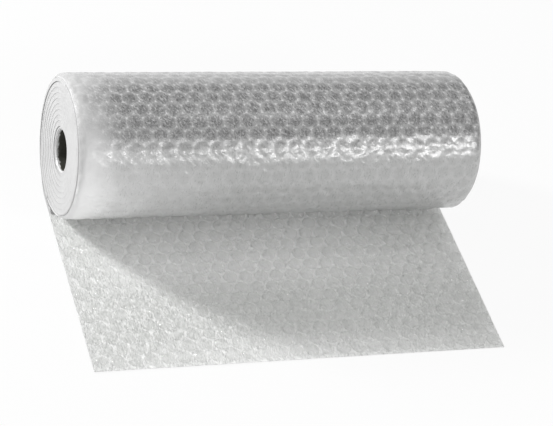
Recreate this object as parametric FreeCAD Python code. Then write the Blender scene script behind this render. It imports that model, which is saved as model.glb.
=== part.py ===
import FreeCAD, Part
import math
import os

# A small roll of bubble film, lying on a flat surface with its free end, the leaf, pulled out
# flat towards the front. The film is one piece: a plain backing with rows of air bubbles on one
# side. It leaves the leaf, passes under the roll, climbs the back, goes over the top and winds
# inwards, with its plain side out and its bubbles towards the axis. The turns have slid a little
# out of line, so the roll is dished at its -X end and domed at its +X end.
# Frame: X along the roll's axis, Z up, the leaf points to -Y. The origin is on the surface that
# the roll rests on, below its axis, halfway along the leaf's width. Sizes are in millimetres.

# The film
film_width = 300.0
backing = 0.6
bubble_pitch = 11.5

# The wound turns, where each row of bubbles is one ridge along the film
roll_radius = 51.0
hole_radius = 14.5
inner_wall = 1.5
wound_bubble_height = 2.7
turn_gap = 0.5
ridge_gap = 1.0
ridge_slope = 2.0
loose_turn = 4.0
telescoping = 1.5

# The leaf, where each bubble stands by itself
leaf_length = 155.0
leaf_bubble_height = 3.4
leaf_bubble_top = 6.8
leaf_edge = 0.5
leaf_clearance = 0.4

# What follows from them
row_pitch = bubble_pitch * math.sqrt(3) / 2
cell_radius = bubble_pitch / math.sqrt(3)
leaf_top = backing + leaf_bubble_height
ridge_depth = backing + wound_bubble_height
turn_pitch = ridge_depth + turn_gap
turns = int((roll_radius - hole_radius - inner_wall) / turn_pitch)
half_turns = 2 * turns
ring_radius = roll_radius - turns * turn_pitch


def vector(point):
    """A point (y, z) of the section, which lies in the plane x = 0."""
    return FreeCAD.Vector(0, point[0], point[1])


def line(a, b):
    return Part.LineSegment(vector(a), vector(b)).toShape()


# Stretches of the wound film
# A stretch is its length, whether it is curved, and a function that gives the point (y, z) at a
# distance along its plain side and a depth into the film from there.


def straight(y, z, heading, length):
    """A flat stretch: heading is 1 away from the leaf, bubbles up, and -1 back, bubbles down."""

    def point(along, depth):
        return y + heading * along, z + heading * depth

    return length, False, point


def half_turn(number):
    """One half turn, counted from outside. Even ones climb the back, odd ones fall at the front."""
    side = 1 if number % 2 == 0 else -1
    y = loose_turn if number == 0 else 0.0
    z = roll_radius if side == 1 else roll_radius + turn_pitch / 2
    radius = roll_radius - number * turn_pitch / 2

    def point(along, depth):
        angle = along / radius
        reach = radius - depth
        return y + side * reach * math.sin(angle), z - side * reach * math.cos(angle)

    return math.pi * radius, True, point


def edge_along(stretch, depth):
    """The smooth edge of a stretch at one depth."""
    length, curved, point = stretch
    start, end = point(0, depth), point(length, depth)
    if not curved:
        return line(start, end)
    return Part.Arc(vector(start), vector(point(length / 2, depth)), vector(end)).toShape()


def ridged_edges(stretch, rows):
    """The bubble side of a stretch: its rows of bubbles, evenly spaced, as ridges."""
    length, _, point = stretch
    spacing = length / rows
    corners = [point(0, backing)]
    for row in range(rows):
        first = row * spacing + ridge_gap / 2
        last = (row + 1) * spacing - ridge_gap / 2
        corners.append(point(first, backing))
        corners.append(point(first + ridge_slope, ridge_depth))
        corners.append(point(last - ridge_slope, ridge_depth))
        corners.append(point(last, backing))
    corners.append(point(length, backing))
    return [line(a, b) for a, b in zip(corners, corners[1:])]


def stretch_solid(stretch, ridged, shift):
    """One stretch of film across its whole width, shifted along the axis."""
    length, _, point = stretch
    rows = int(length / row_pitch) if ridged else 0
    edges = [edge_along(stretch, 0)]
    edges += ridged_edges(stretch, rows) if rows else [edge_along(stretch, backing)]
    edges.append(line(point(0, 0), point(0, backing)))
    edges.append(line(point(length, 0), point(length, backing)))
    section = Part.Face(Part.Wire(Part.__sortEdges__(edges)))
    section.translate(FreeCAD.Vector(shift - film_width / 2, 0, 0))
    return section.extrude(FreeCAD.Vector(film_width, 0, 0))


def inner_turn():
    """The innermost turn, pressed flat and closed on itself round the hole."""
    foot = FreeCAD.Vector(telescoping - film_width / 2, 0, roll_radius)
    axis = FreeCAD.Vector(1, 0, 0)
    ring = Part.makeCylinder(ring_radius, film_width, foot, axis)
    return ring.cut(Part.makeCylinder(hole_radius, film_width, foot, axis))


def wound_film():
    """Everything past the leaf's last bubbles, from under the roll to the hole."""
    under = straight(wound_start, 0, 1, loose_turn - wound_start)
    over = straight(loose_turn, 2 * roll_radius, -1, loose_turn)
    solids = [stretch_solid(under, True, 0), stretch_solid(over, False, 0)]
    for number in range(half_turns):
        shift = telescoping * number / (half_turns - 1)
        ridged = number < half_turns - 1
        solids.append(stretch_solid(half_turn(number), ridged, shift))
    return inner_turn().multiFuse(solids)


# The leaf


def row_y(row):
    """Where the middles of a row of bubbles lie, counted from the leaf's free end."""
    return -leaf_length + leaf_edge + cell_radius + row * row_pitch


def rows_on_leaf():
    """How many rows of standing bubbles there are before the roll comes down on the film."""
    front_radius = roll_radius - turn_pitch / 2
    drop = roll_radius + turn_pitch / 2 - leaf_top - leaf_clearance
    roll_front = -math.sqrt(max(front_radius ** 2 - drop ** 2, 0.0))
    return int((roll_front - cell_radius - row_y(0)) / row_pitch) + 1


def bubble(x, y):
    """One standing bubble, six-sided, from its cell on the backing to its smaller top."""
    rings = []
    for radius, z in ((cell_radius, backing), (leaf_bubble_top / 2, leaf_top)):
        corners = []
        for corner in range(6):
            turn = math.radians(60 * corner + 30)
            reach_x, reach_y = radius * math.cos(turn), radius * math.sin(turn)
            corners.append(FreeCAD.Vector(x + reach_x, y + reach_y, z))
        rings.append(corners)
    lower, upper = rings
    faces = [Part.Face(Part.makePolygon(ring + ring[:1])) for ring in rings]
    for corner in range(6):
        following = (corner + 1) % 6
        side = [lower[corner], lower[following], upper[following], upper[corner], lower[corner]]
        faces.append(Part.Face(Part.makePolygon(side)))
    return Part.Solid(Part.Shell(faces))


def leaf():
    """The flat free end, with every other row of bubbles half a pitch along."""
    corner = FreeCAD.Vector(-film_width / 2, -leaf_length, 0)
    sheet = Part.makeBox(film_width, wound_start + leaf_length, backing, corner)
    room = film_width - 2 * leaf_edge
    bubbles = []
    for row in range(rows_on_leaf()):
        shift = row % 2 * bubble_pitch / 2
        count = int((room - 2 * shift) / bubble_pitch)
        first_x = -(count - 1) / 2 * bubble_pitch
        for column in range(count):
            bubbles.append(bubble(first_x + column * bubble_pitch, row_y(row)))
    return sheet.multiFuse(bubbles)


wound_start = row_y(rows_on_leaf() - 1) + cell_radius + leaf_edge
bubble_wrap = leaf().fuse(wound_film()).removeSplitter().Solids[0]
print("turns:", turns, "rows on the leaf:", rows_on_leaf(), "volume:", bubble_wrap.Volume)

os.makedirs("parts", exist_ok=True)
bubble_wrap.exportStep("parts/bubble_wrap.step")
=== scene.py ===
import math

import bmesh
import bpy
import numpy as np
from mathutils import Matrix, Vector


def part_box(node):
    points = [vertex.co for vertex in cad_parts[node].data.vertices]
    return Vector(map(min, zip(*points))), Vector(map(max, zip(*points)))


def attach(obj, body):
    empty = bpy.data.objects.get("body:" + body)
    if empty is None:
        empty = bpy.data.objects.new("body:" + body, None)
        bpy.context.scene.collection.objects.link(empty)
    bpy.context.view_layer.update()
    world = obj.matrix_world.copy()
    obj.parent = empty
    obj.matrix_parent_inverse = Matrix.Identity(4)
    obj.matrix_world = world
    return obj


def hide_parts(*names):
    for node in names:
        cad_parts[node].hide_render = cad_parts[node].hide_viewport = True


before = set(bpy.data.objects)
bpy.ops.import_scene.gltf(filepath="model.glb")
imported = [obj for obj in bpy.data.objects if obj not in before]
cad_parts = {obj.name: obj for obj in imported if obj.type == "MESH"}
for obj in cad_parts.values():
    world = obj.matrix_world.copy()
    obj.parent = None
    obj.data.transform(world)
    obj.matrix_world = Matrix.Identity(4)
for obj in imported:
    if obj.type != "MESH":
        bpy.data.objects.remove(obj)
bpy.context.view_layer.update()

# Sizes of the film, in metres, as its solid has them
low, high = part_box("bubble_wrap")
LEAF_LENGTH = -low.y
HALF_WIDTH = -low.x
TELESCOPING = high.x - HALF_WIDTH
ROLL_RADIUS = high.z / 2
LOOSE_TURN = 0.004
HOLE_RADIUS = 0.0145
BACKING = 0.0006
TURN_PITCH = 0.0038
TURNS = 9
BUBBLE_PITCH = 0.0115
ROW_PITCH = BUBBLE_PITCH * math.sqrt(3) / 2
CELL_RADIUS = BUBBLE_PITCH / math.sqrt(3)
LEAF_EDGE = 0.0005
LEAF_ROWS = 14
FIRST_ROW = LEAF_EDGE + CELL_RADIUS

# How the bubbles look
BUBBLE_RADIUS = 0.0050
BUBBLE_HEIGHT = 0.0034
BULGE = 0.00045
DOME_DEPTH = 0.0034

# How the film lies round the roll, rounded at its ends and flattened where the roll rests
SLACK_GAP = 0.00003
UNDER_FILM = 0.0010
SHOULDER = 0.0065
RIM_EDGE = 0.0013
FLATTENING = 0.85
FLATTENED_ANGLE = 0.7
LIFT_LENGTH = 0.02
SQUARED_LENGTH = 0.02

# How finely the film is drawn
OUTER_STEP = 0.0011
COLUMN_STEP = 0.0012
TURN_STEP = 0.0012
LEAF_STEP = 0.0015
LEAF_COLUMNS = 201

# How far the turns' cut edges stand back from the roll's ends
LEAST_RECESS = 0.0002
BUBBLE_RECESS = 0.0005
ROW_RECESS = 0.0007
RANDOM_RECESS = 0.00010
LEFT_SHARE = 0.14
TUCK = 0.0012

# The photograph's camera: a long lens, left of the roll and above it, rolled a little
PHOTO_WIDTH = 553
FOCAL_PIXELS = 2000.0
AZIMUTH = math.radians(29.61)
ELEVATION = math.radians(41.97)
CAMERA_ROLL = math.radians(19.01)
AIM_RIGHT = -0.02210
AIM_UP = 0.01115
DISTANCE = 1.4546

random = np.random.default_rng(7)


def make_camera():
    """The camera stands back from the origin along its own axis, then shifts by the aim."""
    level_right = Vector((math.cos(AZIMUTH), -math.sin(AZIMUTH), 0))
    forward = Vector((
        math.sin(AZIMUTH) * math.cos(ELEVATION),
        math.cos(AZIMUTH) * math.cos(ELEVATION),
        -math.sin(ELEVATION),
    ))
    level_up = level_right.cross(forward)
    right = math.cos(CAMERA_ROLL) * level_right + math.sin(CAMERA_ROLL) * level_up
    up = -math.sin(CAMERA_ROLL) * level_right + math.cos(CAMERA_ROLL) * level_up
    data = bpy.data.cameras.new("photo_camera")
    data.sensor_width = 36
    data.lens = FOCAL_PIXELS / PHOTO_WIDTH * 36
    data.clip_end = 20
    camera = bpy.data.objects.new("photo_camera", data)
    bpy.context.scene.collection.objects.link(camera)
    camera.matrix_world = Matrix((right, up, -forward)).transposed().to_4x4()
    camera.location = -AIM_RIGHT * right - AIM_UP * up - DISTANCE * forward
    bpy.context.scene.camera = camera


# The film's path
# Distances run along the plain side from the leaf's free end. Each stretch is its start, its
# length and its half turn, or None where it is straight.


def half_turn_radius(number):
    return ROLL_RADIUS - number * TURN_PITCH / 2


def path_stretches():
    found = [(0.0, LEAF_LENGTH + LOOSE_TURN, None)]
    for number in range(2 * TURNS):
        start = found[-1][0] + found[-1][1]
        found.append((start, math.pi * half_turn_radius(number), number))
        if number == 0:
            found.append((start + found[-1][1], LOOSE_TURN, None))
    return found


PATH = path_stretches()
PATH_END = PATH[-1][0] + PATH[-1][1]
WOUND_START = FIRST_ROW + (LEAF_ROWS - 1) * ROW_PITCH + CELL_RADIUS + LEAF_EDGE
OUTER_END = PATH[3][0] + PATH[3][1]
TURN_COUNTS = [0, 0, 0.5] + [number / 2 for number in range(1, 2 * TURNS)] + [TURNS]


def film_point(distance, depth):
    """Arrays of y and z at distances along the film and depths under its plain side."""
    distance, depth = np.broadcast_arrays(distance, depth)
    y, z = np.array(distance - LEAF_LENGTH), np.array(depth, float)
    for start, length, number in PATH[1:]:
        here = distance >= start
        along = distance[here] - start
        if number is None:
            y[here] = LOOSE_TURN - along
            z[here] = 2 * ROLL_RADIUS - depth[here]
            continue
        side = 1 if number % 2 == 0 else -1
        centre_y = LOOSE_TURN if number == 0 else 0.0
        centre_z = ROLL_RADIUS if side == 1 else ROLL_RADIUS + TURN_PITCH / 2
        angle = along / half_turn_radius(number)
        reach = half_turn_radius(number) - depth[here]
        y[here] = centre_y + side * reach * np.sin(angle)
        z[here] = centre_z - side * reach * np.cos(angle)
    return y, z


def sideways(distance):
    """How far the film has slid along the axis, turn by turn, at distances along it."""
    starts = [start for start, _, number in PATH if number is not None] + [PATH_END]
    turned = np.interp(distance, starts, np.arange(len(starts)) - 0.5)
    return TELESCOPING * np.clip(turned / (2 * TURNS - 1), 0, 1)


def bubble_distance(x, distance):
    """How far points of the film are from the middle of the nearest bubble."""
    row = (distance - FIRST_ROW) / (2 * ROW_PITCH)
    column = x / BUBBLE_PITCH

    def lattice(columns, rows):
        across = (columns - np.round(columns)) * BUBBLE_PITCH
        along = (rows - np.round(rows)) * 2 * ROW_PITCH
        return np.hypot(across, along)

    return np.minimum(lattice(column - 0.5, row), lattice(column, row - 0.5))


def smooth_noise(shape, cell, strength):
    """A smooth random field over a grid, with features about cell samples long and wide."""
    cells = np.broadcast_to(cell, 2)
    coarse = random.standard_normal([max(4, n // c + 3) for n, c in zip(shape, cells)])
    for axis, n in enumerate(shape):
        at = np.linspace(0, coarse.shape[axis] - 1.001, n)
        first = at.astype(int)
        share = at - first
        share = share * share * (3 - 2 * share)
        share = share.reshape([-1 if k == axis else 1 for k in range(2)])
        a = np.take(coarse, first, axis)
        b = np.take(coarse, first + 1, axis)
        coarse = a + (b - a) * share
    return coarse * strength


def slanted_noise(shape, cell, slant, strength):
    """Smooth noise whose features lean sideways by a number of samples for each row."""
    field = smooth_noise(shape, cell, strength)
    return np.stack([np.roll(row, int(round(k * slant))) for k, row in enumerate(field)])


# Meshes


def make_piece(name, points, faces, material, uv):
    """A mesh piece that rides on the roll's one body."""
    mesh = bpy.data.meshes.new(name)
    mesh.from_pydata(points.tolist(), [], faces)
    layer = mesh.uv_layers.new(name="film")
    corners = np.empty(len(mesh.loops), np.int64)
    mesh.loops.foreach_get("vertex_index", corners)
    layer.data.foreach_set("uv", uv[corners].astype(np.float32).ravel())
    mesh.validate()
    whole = bmesh.new()
    whole.from_mesh(mesh)
    bmesh.ops.recalc_face_normals(whole, faces=whole.faces)
    whole.to_mesh(mesh)
    whole.free()
    mesh.shade_smooth()
    mesh.set_sharp_from_angle(angle=math.radians(30))
    mesh.materials.append(material)
    piece = bpy.data.objects.new(name, mesh)
    bpy.context.scene.collection.objects.link(piece)
    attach(piece, "root")
    return piece


def film_uv(x, distance):
    """Film coordinates that repeat once for each pair of rows and each bubble along a row."""
    return np.stack([x / BUBBLE_PITCH, (distance - FIRST_ROW) / (2 * ROW_PITCH)], -1)


def tube_faces(rings, around):
    """Quads between rings of points, closed at both ends."""
    at = np.arange(rings - 1)[:, None] * around
    here = np.arange(around)[None, :]
    after = (here + 1) % around
    quads = np.stack([at + here, at + after, at + around + after, at + around + here], -1)
    faces = quads.reshape(-1, 4).tolist()
    faces.append(list(range(around))[::-1])
    faces.append([(rings - 1) * around + k for k in range(around)])
    return faces


def film_strip(name, distance, x, depth, material):
    """A strip of film: one closed loop of (x, depth) for each distance along it."""
    along = np.broadcast_to(distance[:, None], x.shape)
    y, z = film_point(along, depth)
    points = np.stack([x, y, z], -1).reshape(-1, 3)
    uv = film_uv(x, along).reshape(-1, 2)
    return make_piece(name, points, tube_faces(*x.shape), material, uv)


def turns_made(distance):
    """How many times the film has gone round the roll, at distances along it."""
    return np.interp(distance, [start for start, _, _ in PATH] + [PATH_END], TURN_COUNTS)


def shoulder_radius(distance):
    """The radius of the roll's rounded ends, small where its weight presses it flat."""
    turned = turns_made(distance)
    from_foot = 2 * math.pi * np.abs(turned - np.round(turned))
    return SHOULDER * (1 - FLATTENING * np.exp(-(from_foot / FLATTENED_ANGLE) ** 2))


def raised_by(distance):
    """From 0 where the film lies flat on the floor to 1 where it wraps the roll."""
    return np.clip((distance - LEAF_LENGTH - LOOSE_TURN) / LIFT_LENGTH, 0, 1)


def shoulder(inward, radius):
    """A quarter circle: the drop of the surface at a way in from the end, or the other way."""
    reach = np.clip(radius - inward, 0, radius)
    return radius - np.sqrt(radius ** 2 - reach ** 2)


def film_columns():
    """Places along the axis, closer together over the rounded ends."""
    rim = np.linspace(0, 1, 9)[:-1] ** 1.5 * SHOULDER + RIM_EDGE
    inner = np.arange(SHOULDER + 0.0015, HALF_WIDTH, COLUMN_STEP)
    half = np.concatenate([-HALF_WIDTH + rim, -HALF_WIDTH + inner])
    return np.concatenate([half, -half[::-1]])


def film_creases(shape):
    """Short, leaning, middling and long creases over a grid of the film."""
    return [
        smooth_noise(shape, 3, 0.00010),
        slanted_noise(shape, (5, 2), 0.8, 0.00014),
        smooth_noise(shape, 6, 0.00018),
        smooth_noise(shape, 40, 0.00015),
    ]


def outer_film(material):
    """The plain side of the outermost turn, bulging over each bubble and curling in at its ends."""
    distance = np.arange(WOUND_START, OUTER_END, OUTER_STEP)
    distance[-1] = OUTER_END
    grid_x, grid_s = np.meshgrid(film_columns(), distance)
    radius = shoulder_radius(grid_s)
    squared = 1 - radius / SHOULDER
    fade = np.clip(1 - (HALF_WIDTH - np.abs(grid_x)) / SQUARED_LENGTH, 0, 1)
    grid_x += np.sign(grid_x) * RIM_EDGE * squared * fade
    nearest = bubble_distance(grid_x, grid_s) / CELL_RADIUS
    from_end = HALF_WIDTH - np.abs(grid_x)
    sunk = BULGE * nearest ** 2.5
    for field in film_creases(grid_x.shape):
        sunk += np.abs(field)
    sunk += shoulder(from_end, radius)
    sunk *= raised_by(grid_s)
    inside = np.stack([sunk[:, -1], sunk[:, 0]], 1) + BACKING
    inside += UNDER_FILM * squared[:, :1] * raised_by(grid_s[:, :1])
    ends = np.stack([grid_x[:, -1], grid_x[:, 0]], 1)
    x = np.concatenate([grid_x, ends], 1)
    depth = np.concatenate([sunk, inside], 1)
    return film_strip("outer_film", distance, x + sideways(distance)[:, None], depth, material)


def edge_recess(distance):
    """How far the turns' cut edges stand back: least beside a bubble, most between two rows."""
    row = (distance - FIRST_ROW) / ROW_PITCH
    between = 0.5 - 0.5 * np.cos(2 * math.pi * row)
    far = 0.5 - 0.5 * np.cos(math.pi * row)
    recess = LEAST_RECESS + BUBBLE_RECESS * between + ROW_RECESS * far
    recess += np.abs(random.standard_normal(len(distance))) * RANDOM_RECESS
    return recess


def turn_surface(distance):
    """How deep in the roll the film's plain side lies, which grows by a pitch in every turn."""
    turned = turns_made(distance)
    whole = np.floor(turned)
    part = np.clip((turned - whole) / 0.08, 0, 1)
    return np.clip(whole - 1 + part, 0, None) * TURN_PITCH


def turn_depths(distance, top, depths):
    """The depths of the film's lines, pressed together at the hole and spread at the loose turn."""
    bottom = TURN_PITCH - SLACK_GAP
    start, length, _ = PATH[-1]
    pressed = np.clip(1 - (distance - start) / length, BACKING / TURN_PITCH, 1)
    pressed *= np.clip(0.25 + (distance - WOUND_START) / 0.008, 0, 1)
    start, length, _ = PATH[1]
    loose = LOOSE_TURN * np.sin(math.pi * np.clip((distance - start) / length, 0, 1))
    return [d * pressed + (d - top) / (bottom - top) * loose for d in depths]


def wound_turns(material):
    """All turns below the outer film. Their ends show the film's edge and the bubbles' sides."""
    distance = np.arange(WOUND_START, PATH_END, TURN_STEP)
    outermost = distance < OUTER_END
    top = np.where(outermost, BACKING + SLACK_GAP + UNDER_FILM * raised_by(distance), SLACK_GAP)
    recess = edge_recess(distance)
    lines = [
        (top, 0.0),
        (top + 0.0002, 0.0),
        (top + 0.0003, 0.5),
        (0.0021, 0.9),
        (0.0028, 1.0),
        (DOME_DEPTH, 0.5),
        (TURN_PITCH - SLACK_GAP, 0.1),
    ]
    shares = [share for _, share in lines]
    depths = turn_depths(distance, top, [depth for depth, _ in lines])
    surface, radius = turn_surface(distance), shoulder_radius(distance)
    rounded = [shoulder(surface + d, radius) + np.where(outermost & (d < DOME_DEPTH), TUCK, 0)
               for d in depths]
    slide = sideways(distance)
    left = [-HALF_WIDTH + LEFT_SHARE * recess * share + r + slide
            for r, share in zip(rounded, shares)]
    right = [HALF_WIDTH - recess * share - r + slide
             for r, share in zip(rounded[::-1], shares[::-1])]
    x = np.stack(left + right, 1)
    depth = np.stack(depths + depths[::-1], 1)
    return film_strip("wound_turns", distance, x, depth, material)


def inner_turn(material):
    """The innermost turn, pressed together round the hole, as one lathed wall."""
    segments = 96
    angle = np.linspace(0, 2 * math.pi, segments, endpoint=False)
    outer = ROLL_RADIUS - TURNS * TURN_PITCH - SLACK_GAP
    end = HALF_WIDTH
    profile = [
        (-end + 0.0006, outer), (-end + 0.0004, outer - 0.0004),
        (-end + 0.0005, HOLE_RADIUS + 0.0006), (-end + 0.0012, HOLE_RADIUS),
        (end - 0.0005, HOLE_RADIUS),
        (end, HOLE_RADIUS + 0.0006), (end, outer - 0.0006), (end - 0.0004, outer),
    ]
    x = np.array([[p[0] for p in profile]] * segments) + TELESCOPING
    r = np.array([[p[1] for p in profile]] * segments)
    y = r * np.sin(angle)[:, None]
    z = ROLL_RADIUS + r * np.cos(angle)[:, None]
    points = np.stack([x, y, z], -1).reshape(-1, 3)
    count = len(profile)
    faces = []
    for k in range(segments):
        after = (k + 1) % segments
        for j in range(count):
            following = (j + 1) % count
            faces.append([k * count + j, k * count + following,
                          after * count + following, after * count + j])
    uv = film_uv(x, angle[:, None] * outer + np.zeros_like(x)).reshape(-1, 2)
    return make_piece("inner_turn", points, faces, material, uv)


def leaf_sheet(material):
    """The leaf's backing, a thin slab with faint creases."""
    distance = np.arange(0, WOUND_START, LEAF_STEP)
    distance[-1] = WOUND_START
    across = np.linspace(-HALF_WIDTH, HALF_WIDTH, LEAF_COLUMNS)
    grid_x, _ = np.meshgrid(across, distance)
    sunk = np.abs(smooth_noise(grid_x.shape, 6, 0.00008))
    under = np.tile([HALF_WIDTH, -HALF_WIDTH], (len(distance), 1))
    x = np.concatenate([grid_x, under], 1)
    depth = np.concatenate([BACKING - sunk, np.zeros_like(under)], 1)
    return film_strip("leaf_sheet", distance, x, depth, material)


def bubble_middles():
    """The middles of the leaf's bubbles, as x and distance from the free end."""
    found = []
    for row in range(LEAF_ROWS):
        shift = row % 2 * BUBBLE_PITCH / 2
        count = int((2 * HALF_WIDTH - 2 * LEAF_EDGE - 2 * shift) / BUBBLE_PITCH)
        for column in range(count):
            x = (column - (count - 1) / 2) * BUBBLE_PITCH
            found.append((x, FIRST_ROW + row * ROW_PITCH))
    return found


def leaf_bubbles(material):
    """The leaf's bubbles: steep sides, nearly flat tops, each a little uneven."""
    segments = 20
    shares = [1.0, 0.97, 0.91, 0.81, 0.67, 0.47, 0.23]
    heights = [0.0, 0.27, 0.53, 0.76, 0.91, 0.98, 1.0]
    angle = np.linspace(0, 2 * math.pi, segments, endpoint=False)
    points, uv, faces = [], [], []
    for x, s in bubble_middles():
        first = len(points)
        tall = BUBBLE_HEIGHT * (1 - 0.12 * random.random())
        lean = random.uniform(-0.03, 0.03, 2)
        pull = random.uniform(0.96, 1.0)
        for share, height in zip(shares, heights):
            dent = 1 - 0.09 * height * random.random(segments)
            for k, a in enumerate(angle):
                reach = BUBBLE_RADIUS * share * pull
                px = x + reach * math.cos(a) + lean[0] * BUBBLE_RADIUS * height
                ps = s + reach * math.sin(a) + lean[1] * BUBBLE_RADIUS * height
                points.append((px, ps - LEAF_LENGTH, BACKING + tall * height * dent[k]))
                uv.append((px, ps))
        points.append((x, s - LEAF_LENGTH, BACKING + tall * 0.97))
        uv.append((x, s))
        for ring in range(len(shares) - 1):
            at = first + ring * segments
            for k in range(segments):
                after = (k + 1) % segments
                faces.append([at + k, at + after, at + segments + after, at + segments + k])
        at = first + (len(shares) - 1) * segments
        for k in range(segments):
            faces.append([at + k, at + (k + 1) % segments, len(points) - 1])
        faces.append([first + k for k in range(segments)][::-1])
    uv = np.array(uv)
    uv = film_uv(uv[:, 0], uv[:, 1])
    return make_piece("leaf_bubbles", np.array(points), faces, material, uv)


# Materials


def new_material(name):
    material = bpy.data.materials.new(name)
    material.use_nodes = True
    return material, material.node_tree, material.node_tree.nodes["Principled BSDF"]


def feed(tree, socket, value):
    if isinstance(value, bpy.types.NodeSocket):
        tree.links.new(value, socket)
    else:
        socket.default_value = value


def math_node(tree, operation, *values):
    node = tree.nodes.new("ShaderNodeMath")
    node.operation = operation
    for socket, value in zip(node.inputs, values):
        feed(tree, socket, value)
    return node.outputs[0]


def ramp(tree, value, low_in, high_in, low_out=0.0, high_out=1.0):
    """A smooth step from low_out to high_out."""
    node = tree.nodes.new("ShaderNodeMapRange")
    node.interpolation_type = "SMOOTHSTEP"
    for name, entry in (
        ("Value", value), ("From Min", low_in), ("From Max", high_in),
        ("To Min", low_out), ("To Max", high_out),
    ):
        feed(tree, node.inputs[name], entry)
    return node.outputs["Result"]


def noise(tree, vector, scale, detail=2.0, distortion=0.0):
    node = tree.nodes.new("ShaderNodeTexNoise")
    feed(tree, node.inputs["Vector"], vector)
    feed(tree, node.inputs["Scale"], scale)
    feed(tree, node.inputs["Detail"], detail)
    feed(tree, node.inputs["Distortion"], distortion)
    return node.outputs["Fac"]


def colour_mix(tree, share, first, second):
    node = tree.nodes.new("ShaderNodeMix")
    node.data_type = "RGBA"
    feed(tree, node.inputs[0], share)
    feed(tree, node.inputs[6], first)
    feed(tree, node.inputs[7], second)
    return node.outputs[2]


def object_position(tree):
    return tree.nodes.new("ShaderNodeTexCoord").outputs["Object"]


def pattern_distance(tree):
    """The distance to the nearest bubble's middle, in bubble pitches, from the film coordinates."""
    uv = tree.nodes.new("ShaderNodeUVMap")
    uv.uv_map = "film"
    split = tree.nodes.new("ShaderNodeSeparateXYZ")
    tree.links.new(uv.outputs[0], split.inputs[0])

    def lattice(column_shift, row_shift):
        column = math_node(tree, "ADD", split.outputs[0], column_shift)
        row = math_node(tree, "ADD", split.outputs[1], row_shift)
        across = math_node(tree, "PINGPONG", column, 0.5)
        along = math_node(tree, "PINGPONG", row, 0.5)
        along = math_node(tree, "MULTIPLY", along, math.sqrt(3))
        squares = math_node(tree, "ADD", math_node(tree, "POWER", across, 2.0),
                            math_node(tree, "POWER", along, 2.0))
        return math_node(tree, "SQRT", squares)

    return math_node(tree, "MINIMUM", lattice(0.5, 0.0), lattice(0.0, 0.5))


def bump(tree, height, strength, distance):
    node = tree.nodes.new("ShaderNodeBump")
    node.inputs["Strength"].default_value = strength
    node.inputs["Distance"].default_value = distance
    tree.links.new(height, node.inputs["Height"])
    return node.outputs["Normal"]


def stretched(tree, where, scales):
    node = tree.nodes.new("ShaderNodeVectorMath")
    node.operation = "MULTIPLY"
    tree.links.new(where, node.inputs[0])
    node.inputs[1].default_value = scales
    return node.outputs[0]


def split_position(tree, where):
    node = tree.nodes.new("ShaderNodeSeparateXYZ")
    tree.links.new(where, node.inputs[0])
    return node.outputs


def grey(value, tint=0.0):
    """A neutral colour, a little greener where tint is above 0."""
    return value, value + tint, value - tint / 2, 1


def gloss(tree, shader, normal, coat, coat_roughness=0.17):
    """The film's smooth skin: a clear coat that follows its wrinkles."""
    tree.links.new(normal, shader.inputs["Normal"])
    tree.links.new(normal, shader.inputs["Coat Normal"])
    shader.inputs["IOR"].default_value = 1.5
    feed(tree, shader.inputs["Coat Weight"], coat)
    shader.inputs["Coat Roughness"].default_value = coat_roughness


def wrinkles(tree, where, strength, scale=260.0):
    """Short smooth creases that break up the highlights."""
    return bump(tree, noise(tree, where, scale, 0.0, 1.0), strength, 0.20 / scale)


def scratches(tree, where):
    """Fine creases, longer along the leaf, which show where the light grazes it."""
    fine = noise(tree, stretched(tree, where, (1.0, 0.5, 1.0)), 700.0, 1.0, 0.8)
    return bump(tree, fine, 1.0, 0.0009)


def slanted(tree, where):
    """Coordinates in which short dashes lean down to the right on the roll's front."""
    joined = tree.nodes.new("ShaderNodeCombineXYZ")
    for socket, direction in zip(joined.inputs, ((1.0, 0.6, 0.9), (0.40, -0.24, -0.40), (0, 0.2, 0))):
        node = tree.nodes.new("ShaderNodeVectorMath")
        node.operation = "DOT_PRODUCT"
        tree.links.new(where, node.inputs[0])
        node.inputs[1].default_value = direction
        tree.links.new(node.outputs["Value"], socket)
    return joined.outputs[0]


def web_and_corner_glints(tree, where):
    """Shares of the ragged web between bubbles, and of the painted glints at its corners where three of
    them meet.
    """
    nearest = pattern_distance(tree)
    wander = math_node(tree, "SUBTRACT", noise(tree, where, 260.0, 3.0, 1.5), 0.5)
    away = math_node(tree, "ADD", nearest, math_node(tree, "MULTIPLY", wander, 0.60))
    # painted glints: pale dots where three bubbles meet
    corners = math_node(tree, "MAXIMUM", ramp(tree, away, 0.62, 0.74, 0.0, 0.70),
                        ramp(tree, nearest, 0.50, 0.57, 0.0, 0.65))
    return ramp(tree, away, 0.24, 0.60), corners


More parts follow.
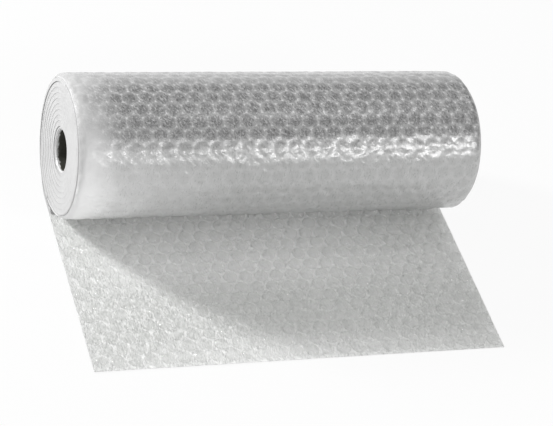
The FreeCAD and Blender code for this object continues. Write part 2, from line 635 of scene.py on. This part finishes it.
def upper_roll_colour(tree, where, y, streak, web, corners):
    """The roll's upper part: dark bubbles and a paler web, painted darker than below as shade, pale
    creases that are partly whitened film and partly painted glints, painted glints in short dashes and
    where three bubbles meet, and a painted paler band of light just behind the top.
    """
    disc = colour_mix(tree, ramp(tree, streak, 0.35, 0.70), grey(0.12), grey(0.23))
    upper = colour_mix(tree, web, disc, grey(0.35))
    # pale creases: partly the film's own whitening, partly painted glints
    crease = math_node(tree, "SUBTRACT", noise(tree, where, 210.0, 2.0, 2.5), 0.5)
    crease = ramp(tree, math_node(tree, "ABSOLUTE", crease), 0.0, 0.03, 0.50, 0.0)
    upper = colour_mix(tree, crease, upper, grey(0.54))
    # painted glints: short pale dashes leaning down to the right
    dash = noise(tree, slanted(tree, where), 800.0, 1.0, 0.6)
    upper = colour_mix(tree, ramp(tree, dash, 0.56, 0.66, 0.0, 0.60), upper, grey(0.62))
    # painted glints where three bubbles meet
    upper = colour_mix(tree, corners, upper, grey(0.85))
    # painted light: a paler band just behind the roll's top
    painted_crown_light = math_node(tree, "MULTIPLY", ramp(tree, y, 0.004, 0.022, 0.0, 0.5),
                      ramp(tree, y, 0.030, 0.046, 1.0, 0.0))
    return colour_mix(tree, painted_crown_light, upper, grey(0.58))


def lower_roll_colour(tree, streak, web):
    """The roll's lower part, paler and plainer: painted light, for the soft light and reflections low
    on its front.
    """
    lower = colour_mix(tree, ramp(tree, streak, 0.30, 0.75), grey(0.37, 0.003), grey(0.422, 0.003))
    return colour_mix(tree, math_node(tree, "MULTIPLY", web, 0.30), lower, grey(0.60))


def painted_glow_at_left(tree, colour, x, y, height, cloud):
    """Painted light over a colour, glowing through the film's left end: faint low down on the left, and
    nearly white towards the left rim.
    """
    shift = math_node(tree, "MULTIPLY", math_node(tree, "SUBTRACT", cloud, 0.5), 0.05)
    from_left = math_node(tree, "ADD", x, shift)
    # painted light: a faint glow low down towards the left end
    low_painted_glow = ramp(tree, from_left, -0.140, -0.010, 0.64, 0.0)
    low_painted_glow = math_node(tree, "MULTIPLY", low_painted_glow, ramp(tree, height, 0.060, 0.095, 1.0, 0.0))
    colour = colour_mix(tree, low_painted_glow, colour, grey(0.66))
    from_left = math_node(tree, "ADD", from_left, ramp(tree, y, -0.036, -0.006, 0.0, 0.014))
    # painted light: a strong glow towards the left rim, paler low down and darker high up, on the rim's
    # top and behind the roll
    painted_glow = ramp(tree, from_left, -0.146, -0.094, 0.94, 0.0)
    pale = colour_mix(tree, ramp(tree, height, 0.060, 0.104), grey(0.92), grey(0.66))
    rim = colour_mix(tree, ramp(tree, height, 0.050, 0.100), grey(0.84), grey(0.36))
    rim = colour_mix(tree, ramp(tree, x, -0.1489, -0.1481), grey(0.58), rim)
    pale = colour_mix(tree, ramp(tree, x, -0.1490, -0.1430), rim, pale)
    pale = colour_mix(tree, ramp(tree, y, 0.032, 0.048), pale, grey(0.46))
    return colour_mix(tree, painted_glow, colour, pale)


def roll_gloss(tree, shader, where, x, streak):
    """The roll's shine, dull at its left end, weaker at its right rim and stronger to the right."""
    dull = ramp(tree, x, 0.002 - HALF_WIDTH, 0.020 - HALF_WIDTH, 0.25, 0.0)
    rough = math_node(tree, "ADD", ramp(tree, streak, 0.3, 0.7, 0.26, 0.44), dull)
    tree.links.new(rough, shader.inputs["Roughness"])
    coat = math_node(tree, "MULTIPLY", ramp(tree, x, 0.004 - HALF_WIDTH, 0.024 - HALF_WIDTH, 0.0, 0.58),
                     ramp(tree, x, HALF_WIDTH - 0.0015, HALF_WIDTH - 0.006, 0.2, 1.0))
    coat = math_node(tree, "MULTIPLY", coat, ramp(tree, x, -0.080, 0.110, 0.62, 1.05))
    gloss(tree, shader, wrinkles(tree, slanted(tree, where), 0.42, 760.0), coat, 0.12)
    shader.inputs["Specular IOR Level"].default_value = 1.0
    shader.inputs["IOR"].default_value = 1.6


def roll_material():
    """Plain film over bubbles: painted shade on top and behind, painted light low down, and painted
    light glowing through its left end.
    """
    material, tree, shader = new_material("roll_film")
    where = object_position(tree)
    x, y, z = split_position(tree, where)
    cloud = noise(tree, where, 38.0, 3.0)
    streak = noise(tree, stretched(tree, where, (2.2, 0.8, 0.8)), 430.0, 2.0, 1.2)
    web, corners = web_and_corner_glints(tree, where)
    height = math_node(tree, "ADD", z, math_node(tree, "MULTIPLY", cloud, 0.012))
    # painted shade and light: the dark upper colour covers the top and the back, the paler lower colour
    # the front low down
    behind = math_node(tree, "MULTIPLY", ramp(tree, y, -0.020, 0.015), ramp(tree, height, 0.030, 0.065))
    shown = math_node(tree, "MAXIMUM", ramp(tree, height, 0.080, 0.100), behind)
    colour = colour_mix(tree, shown, lower_roll_colour(tree, streak, web),
                        upper_roll_colour(tree, where, y, streak, web, corners))
    colour = painted_glow_at_left(tree, colour, x, y, height, cloud)
    tree.links.new(colour, shader.inputs["Base Color"])
    roll_gloss(tree, shader, where, x, streak)
    return material


def end_material():
    """The turns' cut edges, painted pale because light gathers in them, with painted shade between the
    turns.
    """
    material, tree, shader = new_material("edge_film")
    where = object_position(tree)
    x, _, _ = split_position(tree, where)
    uv = tree.nodes.new("ShaderNodeUVMap")
    uv.uv_map = "film"
    _, rows, _ = split_position(tree, uv.outputs[0])
    cloud = noise(tree, where, 55.0, 3.0)
    grain = noise(tree, where, 480.0, 3.0, 0.8)
    colour = colour_mix(tree, ramp(tree, cloud, 0.3, 0.7), grey(0.43), grey(0.47))
    colour = colour_mix(tree, ramp(tree, grain, 0.35, 0.70, 0.0, 0.5), colour, grey(0.53))
    # painted shade: darker lines between the turns, fainter at the left end
    painted_gap_shade = ramp(tree, math_node(tree, "PINGPONG", rows, 0.5), 0.20, 0.05, 0.0, 0.45)
    painted_gap_shade = math_node(tree, "MULTIPLY", painted_gap_shade, ramp(tree, x, -0.10, 0.10, 0.08, 1.0))
    colour = colour_mix(tree, painted_gap_shade, colour, grey(0.22))
    tree.links.new(colour, shader.inputs["Base Color"])
    tree.links.new(ramp(tree, grain, 0.3, 0.7, 0.35, 0.55), shader.inputs["Roughness"])
    gloss(tree, shader, wrinkles(tree, where, 0.25), 0.3)
    return material


def hole_material():
    """The innermost turn: painted light, pale at its two rims, and painted shade, dark inside the hole.
    """
    material, tree, shader = new_material("hole_film")
    where = object_position(tree)
    x, _, _ = split_position(tree, where)
    grain = noise(tree, where, 300.0, 3.0, 1.0)
    x = math_node(tree, "ABSOLUTE", math_node(tree, "SUBTRACT", x, TELESCOPING))
    inward = math_node(tree, "SUBTRACT", HALF_WIDTH, x)
    # painted light: pale just inside each rim
    colour = colour_mix(tree, ramp(tree, inward, 0.0006, 0.0013), grey(0.46), grey(0.92))
    inward = math_node(tree, "SUBTRACT", inward, math_node(tree, "MULTIPLY", grain, 0.003))
    # painted shade: dark further inside the hole
    deep = ramp(tree, inward, 0.0006, 0.0016)
    colour = colour_mix(tree, deep, colour, (0.06, 0.06, 0.05, 1))
    tree.links.new(colour, shader.inputs["Base Color"])
    tree.links.new(ramp(tree, grain, 0.3, 0.7, 0.40, 0.60), shader.inputs["Roughness"])
    gloss(tree, shader, wrinkles(tree, where, 0.3), 0.2)
    return material


def leaf_shades(tree, x, y, painted_lit_zone):
    """The leaf's colour: painted lit and shaded versions, painted light along its free end and near the
    roll, and duller at its left edge.
    """
    web = ramp(tree, pattern_distance(tree), 0.34, 0.50)

    def shade(under_bubbles, between):
        return colour_mix(tree, web, under_bubbles, between)

    # painted shade: the shaded version, bubbles a little paler than the web
    colour = shade(grey(0.715, 0.012), grey(0.67, 0.010))
    # painted light: the lit version, bubbles darker than the web
    colour = colour_mix(tree, painted_lit_zone, colour, shade(grey(0.66, 0.012), grey(0.76, 0.010)))
    # painted light: paler along the free end
    front = math_node(tree, "MULTIPLY", ramp(tree, y, -0.147, -0.126, 1.0, 0.0),
                      ramp(tree, x, -0.130, -0.030, 0.25, 1.0))
    colour = colour_mix(tree, front, colour, shade(grey(0.95, 0.006), grey(0.91, 0.006)))
    # painted light: paler near the roll, against the shade it casts there
    near = math_node(tree, "MULTIPLY", ramp(tree, y, -0.104, -0.066),
                     ramp(tree, x, -0.145, -0.085, 0.35, 1.0))
    colour = colour_mix(tree, near, colour, shade(grey(0.95, 0.004), grey(0.91, 0.004)))
    edge = ramp(tree, x, -0.1495, -0.1400, 0.7, 0.0)
    return colour_mix(tree, edge, colour, grey(0.58, 0.004))


def leaf_painted_glints(tree, colour, where, x, y, cloud, painted_lit_zone):
    """Painted glints and specks of shade: pale and dark dashes over a colour, where light falls on the
    leaf.
    """
    # painted glints go where light falls: the lit zone, the free end and the right, fading at the left
    # edge
    painted_glint_share = math_node(tree, "ADD", y, math_node(tree, "MULTIPLY", cloud, 0.030))
    painted_glint_share = math_node(tree, "MAXIMUM", ramp(tree, painted_glint_share, -0.132, -0.100, 0.95, 0.0),
                     ramp(tree, x, 0.000, 0.110, 0.0, 0.85))
    painted_glint_share = math_node(tree, "MULTIPLY", math_node(tree, "MAXIMUM", painted_lit_zone, painted_glint_share),
                     ramp(tree, x, -0.1490, -0.1380, 0.2, 1.0))
    dash = noise(tree, stretched(tree, where, (1.0, 0.45, 1.0)), 900.0, 1.0, 1.0)
    # painted glints: pale dashes, with dark specks of shade between them
    light = math_node(tree, "MULTIPLY", ramp(tree, dash, 0.53, 0.60, 0.0, 0.9), painted_glint_share)
    dark = math_node(tree, "MULTIPLY", ramp(tree, dash, 0.48, 0.38, 0.0, 0.6), painted_glint_share)
    colour = colour_mix(tree, light, colour, grey(0.98, 0.004))
    return colour_mix(tree, dark, colour, grey(0.46, 0.010))


def leaf_material():
    """The leaf's backing, milky between and under its bubbles, with painted light and glints at the
    front left and painted shade towards the right.
    """
    material, tree, shader = new_material("leaf_film")
    where = object_position(tree)
    x, y, _ = split_position(tree, where)
    cloud = noise(tree, where, 45.0, 3.0)
    streak = noise(tree, where, 520.0, 3.0, 1.0)
    across = math_node(tree, "ADD", math_node(tree, "MULTIPLY", x, 0.53),
                       math_node(tree, "MULTIPLY", y, 0.85))
    across = math_node(tree, "ADD", across, math_node(tree, "MULTIPLY", cloud, 0.020))
    # painted light: the zone at the front left where light falls, up to the line of the roll's shadow
    painted_lit_zone = ramp(tree, across, -0.120, -0.098, 1.0, 0.0)
    colour = leaf_shades(tree, x, y, painted_lit_zone)
    colour = leaf_painted_glints(tree, colour, where, x, y, cloud, painted_lit_zone)
    # painted shade: darker towards the right
    colour = colour_mix(tree, ramp(tree, x, 0.02, 0.14, 0.0, 0.40), colour, grey(0.56, 0.010))
    colour = colour_mix(tree, ramp(tree, cloud, 0.3, 0.7, 0.0, 0.25), colour, grey(0.80, 0.008))
    colour = colour_mix(tree, ramp(tree, streak, 0.4, 0.7, 0.0, 0.30), colour, grey(0.88, 0.004))
    tree.links.new(colour, shader.inputs["Base Color"])
    tree.links.new(ramp(tree, streak, 0.3, 0.7, 0.30, 0.50), shader.inputs["Roughness"])
    gloss(tree, shader, scratches(tree, where), 0.5)
    return material


def bubble_material():
    """The standing bubbles, thin clear film that the backing shows through."""
    material, tree, shader = new_material("bubble_film")
    where = object_position(tree)
    streak = noise(tree, where, 900.0, 2.0, 1.2)
    colour = colour_mix(tree, ramp(tree, streak, 0.35, 0.70), grey(0.74, 0.010), grey(0.95, 0.004))
    tree.links.new(colour, shader.inputs["Base Color"])
    tree.links.new(ramp(tree, streak, 0.3, 0.7, 0.12, 0.30), shader.inputs["Roughness"])
    shader.inputs["Alpha"].default_value = 0.17
    shader.inputs["Coat IOR"].default_value = 1.9
    gloss(tree, shader, scratches(tree, where), 1.0, 0.06)
    return material


def stage_material(name, colour, shade):
    """White to the camera and in reflections, with a share of the real shading kept for shadows."""
    material, tree, shader = new_material(name)
    shader.inputs["Base Color"].default_value = colour
    shader.inputs["Roughness"].default_value = 0.9
    shader.inputs["Specular IOR Level"].default_value = 0.0
    white = tree.nodes.new("ShaderNodeEmission")
    path = tree.nodes.new("ShaderNodeLightPath")
    seen = math_node(tree, "MAXIMUM", path.outputs["Is Camera Ray"], path.outputs["Is Glossy Ray"])
    seen = math_node(tree, "MAXIMUM", seen, path.outputs["Is Transmission Ray"])
    mix = tree.nodes.new("ShaderNodeMixShader")
    tree.links.new(math_node(tree, "MULTIPLY", seen, 1 - shade), mix.inputs[0])
    tree.links.new(shader.outputs[0], mix.inputs[1])
    tree.links.new(white.outputs[0], mix.inputs[2])
    tree.links.new(mix.outputs[0], tree.nodes["Material Output"].inputs["Surface"])
    return material


# Stage and lights


def make_floor():
    reach = 3.0
    points = [(-reach, -reach, 0), (reach, -reach, 0), (reach, reach, 0), (-reach, reach, 0)]
    mesh = bpy.data.meshes.new("floor")
    mesh.from_pydata([(x, y, -0.0003) for x, y, _ in points], [], [(0, 1, 2, 3)])
    mesh.materials.append(stage_material("floor_white", (0.80, 0.80, 0.80, 1), 0.10))
    floor = bpy.data.objects.new("floor", mesh)
    bpy.context.scene.collection.objects.link(floor)


def make_world(strength):
    world = bpy.data.worlds.new("studio")
    world.use_nodes = True
    bpy.context.scene.world = world
    tree = world.node_tree
    soft = tree.nodes["Background"]
    soft.inputs["Color"].default_value = (1, 1, 1, 1)
    soft.inputs["Strength"].default_value = strength
    white = tree.nodes.new("ShaderNodeBackground")
    white.inputs["Strength"].default_value = 1.0
    path = tree.nodes.new("ShaderNodeLightPath")
    mix = tree.nodes.new("ShaderNodeMixShader")
    tree.links.new(path.outputs["Is Camera Ray"], mix.inputs[0])
    tree.links.new(soft.outputs[0], mix.inputs[1])
    tree.links.new(white.outputs[0], mix.inputs[2])
    tree.links.new(mix.outputs[0], tree.nodes["World Output"].inputs["Surface"])


def softbox(name, toward, aim, distance, width, height, power):
    """A soft area lamp that shines on aim from a direction."""
    data = bpy.data.lights.new(name, "AREA")
    data.shape = "RECTANGLE"
    data.size = width
    data.size_y = height
    data.energy = power
    lamp = bpy.data.objects.new(name, data)
    bpy.context.scene.collection.objects.link(lamp)
    toward = Vector(toward).normalized()
    lamp.location = Vector(aim) + toward * distance
    lamp.rotation_mode = "QUATERNION"
    lamp.rotation_quaternion = toward.to_track_quat("Z", "Y")


make_camera()
make_floor()
make_world(0.44)
softbox("back_left", (-0.789, 0.492, 0.371), (0, 0, 0.03), 1.8, 0.26, 0.26, 33)
softbox("front_right", (0.47, -0.71, 0.52), (0.06, -0.03, 0.08), 1.4, 0.60, 0.22, 5.9)
softbox("above", (0.37, 0.11, 0.92), (0, 0, 0.10), 1.2, 0.07, 0.07, 0.5)
softbox("front", (-0.10, -0.80, 0.60), (0, -0.05, 0.03), 2.0, 1.5, 1.0, 5.4)

roll_film = roll_material()
turns = wound_turns(end_material())
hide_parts("bubble_wrap")
outer_film(roll_film)
inner_turn(hole_material())
leaf_sheet(leaf_material())
leaf_bubbles(bubble_material())

bpy.context.scene.view_settings.view_transform = "Standard"
